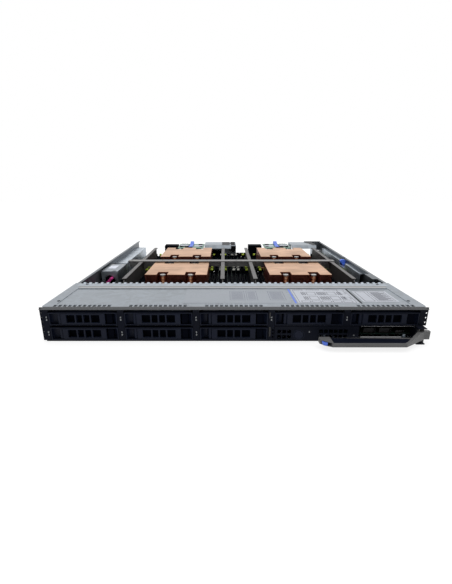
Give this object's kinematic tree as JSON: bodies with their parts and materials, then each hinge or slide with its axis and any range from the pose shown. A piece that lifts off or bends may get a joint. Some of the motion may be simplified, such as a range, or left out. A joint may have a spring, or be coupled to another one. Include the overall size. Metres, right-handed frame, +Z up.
{
  "type": "blade server",
  "caption": "Full-width server sled with hot-plug drives in front, finned copper heatsinks, memory sockets and a swing-out ejector handle.",
  "frame": {"origin": "centre of the underside of the chassis floor, without the handle", "axes": "+X to the right seen from the front, +Y to the rear, +Z up"},
  "size_m": [0.4327, 0.5545, 0.041],
  "materials": {
    "galvanised": "galvanised, matt",
    "black_steel": "black powder coat",
    "navy_plastic": "moulded, fine grain",
    "board": "solder resist",
    "green_board": "solder resist",
    "copper": "brushed copper",
    "screw_steel": "plated",
    "socket_black": "moulded",
    "latch_plastic": "moulded, white, black and green in turn",
    "rail_grey": "moulded grey",
    "touch_blue": "moulded",
    "magenta": "moulded",
    "handle_grey": "painted grey",
    "clear_pipe": "clear, frosted ends",
    "label_white": "moulded pale grey",
    "chip_lid": "nickel plated"
  },
  "bodies": {
    "chassis": {"chassis_floor": "galvanised", "side_walls": "galvanised", "drive_cage": "black_steel", "drive_bay_cover": "galvanised", "drive_backplane": "board", "light_pipes": "clear_pipe", "system_board": "board", "processors": "chip_lid", "heatsinks": "copper", "heatsink_screws": "screw_steel", "memory_sockets": "socket_black", "air_rails": "rail_grey", "cross_member": "galvanised", "card_cage": "galvanised", "side_duct": "galvanised", "side_bracket": "galvanised", "cable_block": "socket_black", "network_cards": "green_board", "rear_card_cages": "galvanised", "rear_connectors": "socket_black", "io_panel": "navy_plastic", "control_board": "board", "handle_pin": "screw_steel"},
    "memory_latches_front_a": {"memory_latches_front_a": "latch_plastic"},
    "memory_latches_front_b": {"memory_latches_front_b": "latch_plastic"},
    "memory_latches_rear_a": {"memory_latches_rear_a": "latch_plastic"},
    "memory_latches_rear_b": {"memory_latches_rear_b": "latch_plastic"},
    "cage_pull_tab": {"cage_pull_tab": "magenta"},
    "bracket_clip": {"bracket_clip": "touch_blue"},
    "card_lever_left": {"card_lever_left": "touch_blue"},
    "card_lever_right": {"card_lever_right": "touch_blue"},
    "power_button": {"power_button": "navy_plastic"},
    "information_tag": {"information_tag": "label_white"},
    "handle": {"handle": "handle_grey"},
    "handle_button": {"handle_button": "touch_blue"},
    "drive_1": {"drive_1": "navy_plastic"},
    "drive_lever_1": {"drive_lever_1": "navy_plastic"},
    "drive_button_1": {"drive_button_1": "navy_plastic"},
    "drive_2": {"drive_2": "navy_plastic"},
    "drive_lever_2": {"drive_lever_2": "navy_plastic"},
    "drive_button_2": {"drive_button_2": "navy_plastic"},
    "drive_3": {"drive_3": "navy_plastic"},
    "drive_lever_3": {"drive_lever_3": "navy_plastic"},
    "drive_button_3": {"drive_button_3": "navy_plastic"},
    "drive_4": {"drive_4": "navy_plastic"},
    "drive_lever_4": {"drive_lever_4": "navy_plastic"},
    "drive_button_4": {"drive_button_4": "navy_plastic"},
    "drive_5": {"drive_5": "navy_plastic"},
    "drive_lever_5": {"drive_lever_5": "navy_plastic"},
    "drive_button_5": {"drive_button_5": "navy_plastic"},
    "drive_6": {"drive_6": "navy_plastic"},
    "drive_lever_6": {"drive_lever_6": "navy_plastic"},
    "drive_button_6": {"drive_button_6": "navy_plastic"},
    "drive_7": {"drive_7": "navy_plastic"},
    "drive_lever_7": {"drive_lever_7": "navy_plastic"},
    "drive_button_7": {"drive_button_7": "navy_plastic"},
    "drive_8": {"drive_8": "navy_plastic"},
    "drive_lever_8": {"drive_lever_8": "navy_plastic"},
    "drive_button_8": {"drive_button_8": "navy_plastic"}
  },
  "joints": [
    {"name": "drive_1_slide", "type": "slide", "parent": "chassis", "child": "drive_1", "axis": [0, -1, 0], "range_m": [0, 0.116]},
    {"name": "drive_lever_1_hinge", "type": "hinge", "parent": "drive_1", "child": "drive_lever_1", "pos_m": [-0.1945, -0.2585, 0.0266], "axis": [0, 0, -1], "range_deg": [0, 55]},
    {"name": "drive_button_1_press", "type": "slide", "parent": "drive_1", "child": "drive_button_1", "axis": [0, 1, 0], "range_m": [0, 0.0012], "stiffness_N_per_m": 300},
    {"name": "drive_2_slide", "type": "slide", "parent": "chassis", "child": "drive_2", "axis": [0, -1, 0], "range_m": [0, 0.116]},
    {"name": "drive_lever_2_hinge", "type": "hinge", "parent": "drive_2", "child": "drive_lever_2", "pos_m": [-0.1105, -0.2585, 0.0266], "axis": [0, 0, -1], "range_deg": [0, 55]},
    {"name": "drive_button_2_press", "type": "slide", "parent": "drive_2", "child": "drive_button_2", "axis": [0, 1, 0], "range_m": [0, 0.0012], "stiffness_N_per_m": 300},
    {"name": "drive_3_slide", "type": "slide", "parent": "chassis", "child": "drive_3", "axis": [0, -1, 0], "range_m": [0, 0.116]},
    {"name": "drive_lever_3_hinge", "type": "hinge", "parent": "drive_3", "child": "drive_lever_3", "pos_m": [-0.0265, -0.2585, 0.0266], "axis": [0, 0, -1], "range_deg": [0, 55]},
    {"name": "drive_button_3_press", "type": "slide", "parent": "drive_3", "child": "drive_button_3", "axis": [0, 1, 0], "range_m": [0, 0.0012], "stiffness_N_per_m": 300},
    {"name": "drive_4_slide", "type": "slide", "parent": "chassis", "child": "drive_4", "axis": [0, -1, 0], "range_m": [0, 0.116]},
    {"name": "drive_lever_4_hinge", "type": "hinge", "parent": "drive_4", "child": "drive_lever_4", "pos_m": [0.0575, -0.2585, 0.0266], "axis": [0, 0, -1], "range_deg": [0, 55]},
    {"name": "drive_button_4_press", "type": "slide", "parent": "drive_4", "child": "drive_button_4", "axis": [0, 1, 0], "range_m": [0, 0.0012], "stiffness_N_per_m": 300},
    {"name": "drive_5_slide", "type": "slide", "parent": "chassis", "child": "drive_5", "axis": [0, -1, 0], "range_m": [0, 0.116]},
    {"name": "drive_lever_5_hinge", "type": "hinge", "parent": "drive_5", "child": "drive_lever_5", "pos_m": [0.1415, -0.2585, 0.0266], "axis": [0, 0, -1], "range_deg": [0, 55]},
    {"name": "drive_button_5_press", "type": "slide", "parent": "drive_5", "child": "drive_button_5", "axis": [0, 1, 0], "range_m": [0, 0.0012], "stiffness_N_per_m": 300},
    {"name": "drive_6_slide", "type": "slide", "parent": "chassis", "child": "drive_6", "axis": [0, -1, 0], "range_m": [0, 0.116]},
    {"name": "drive_lever_6_hinge", "type": "hinge", "parent": "drive_6", "child": "drive_lever_6", "pos_m": [-0.1945, -0.2585, 0.009], "axis": [0, 0, -1], "range_deg": [0, 55]},
    {"name": "drive_button_6_press", "type": "slide", "parent": "drive_6", "child": "drive_button_6", "axis": [0, 1, 0], "range_m": [0, 0.0012], "stiffness_N_per_m": 300},
    {"name": "drive_7_slide", "type": "slide", "parent": "chassis", "child": "drive_7", "axis": [0, -1, 0], "range_m": [0, 0.116]},
    {"name": "drive_lever_7_hinge", "type": "hinge", "parent": "drive_7", "child": "drive_lever_7", "pos_m": [-0.1105, -0.2585, 0.009], "axis": [0, 0, -1], "range_deg": [0, 55]},
    {"name": "drive_button_7_press", "type": "slide", "parent": "drive_7", "child": "drive_button_7", "axis": [0, 1, 0], "range_m": [0, 0.0012], "stiffness_N_per_m": 300},
    {"name": "drive_8_slide", "type": "slide", "parent": "chassis", "child": "drive_8", "axis": [0, -1, 0], "range_m": [0, 0.116]},
    {"name": "drive_lever_8_hinge", "type": "hinge", "parent": "drive_8", "child": "drive_lever_8", "pos_m": [-0.0265, -0.2585, 0.009], "axis": [0, 0, -1], "range_deg": [0, 55]},
    {"name": "drive_button_8_press", "type": "slide", "parent": "drive_8", "child": "drive_button_8", "axis": [0, 1, 0], "range_m": [0, 0.0012], "stiffness_N_per_m": 300},
    {"name": "handle_swing", "type": "hinge", "parent": "chassis", "child": "handle", "pos_m": [0.2095, -0.2655, 0.01], "axis": [0, 0, 1], "range_deg": [0, 75]},
    {"name": "handle_button_press", "type": "slide", "parent": "handle", "child": "handle_button", "axis": [1, 0, 0], "range_m": [0, 0.0035], "stiffness_N_per_m": 300},
    {"name": "power_button_press", "type": "slide", "parent": "chassis", "child": "power_button", "axis": [0, 1, 0], "range_m": [0, 0.0012], "stiffness_N_per_m": 400},
    {"name": "information_tag_slide", "type": "slide", "parent": "chassis", "child": "information_tag", "axis": [0, -1, 0], "range_m": [0, 0.045]},
    {"name": "memory_latches_front_a_hinge", "type": "hinge", "parent": "chassis", "child": "memory_latches_front_a", "pos_m": [0.01075, -0.1, 0.0096], "axis": [1, 0, 0], "range_deg": [0, 30]},
    {"name": "memory_latches_front_b_hinge", "type": "hinge", "parent": "chassis", "child": "memory_latches_front_b", "pos_m": [0.01075, 0.038, 0.0096], "axis": [-1, 0, 0], "range_deg": [0, 30]},
    {"name": "memory_latches_rear_a_hinge", "type": "hinge", "parent": "chassis", "child": "memory_latches_rear_a", "pos_m": [0.01075, 0.062, 0.0096], "axis": [1, 0, 0], "range_deg": [0, 30]},
    {"name": "memory_latches_rear_b_hinge", "type": "hinge", "parent": "chassis", "child": "memory_latches_rear_b", "pos_m": [0.01075, 0.2, 0.0096], "axis": [-1, 0, 0], "range_deg": [0, 30]},
    {"name": "bracket_clip_hinge", "type": "hinge", "parent": "chassis", "child": "bracket_clip", "pos_m": [0.2082, 0.047, 0.0286], "axis": [0, -1, 0], "range_deg": [0, 40]},
    {"name": "card_lever_left_hinge", "type": "hinge", "parent": "chassis", "child": "card_lever_left", "pos_m": [-0.08475, 0.255, 0.0367], "axis": [-1, 0, 0], "range_deg": [0, 60]},
    {"name": "card_lever_right_hinge", "type": "hinge", "parent": "chassis", "child": "card_lever_right", "pos_m": [0.10625, 0.255, 0.0367], "axis": [-1, 0, 0], "range_deg": [0, 60]},
    {"name": "cage_pull_tab_slide", "type": "slide", "parent": "chassis", "child": "cage_pull_tab", "axis": [0, -1, 0], "range_m": [0, 0.007]}
  ]
}
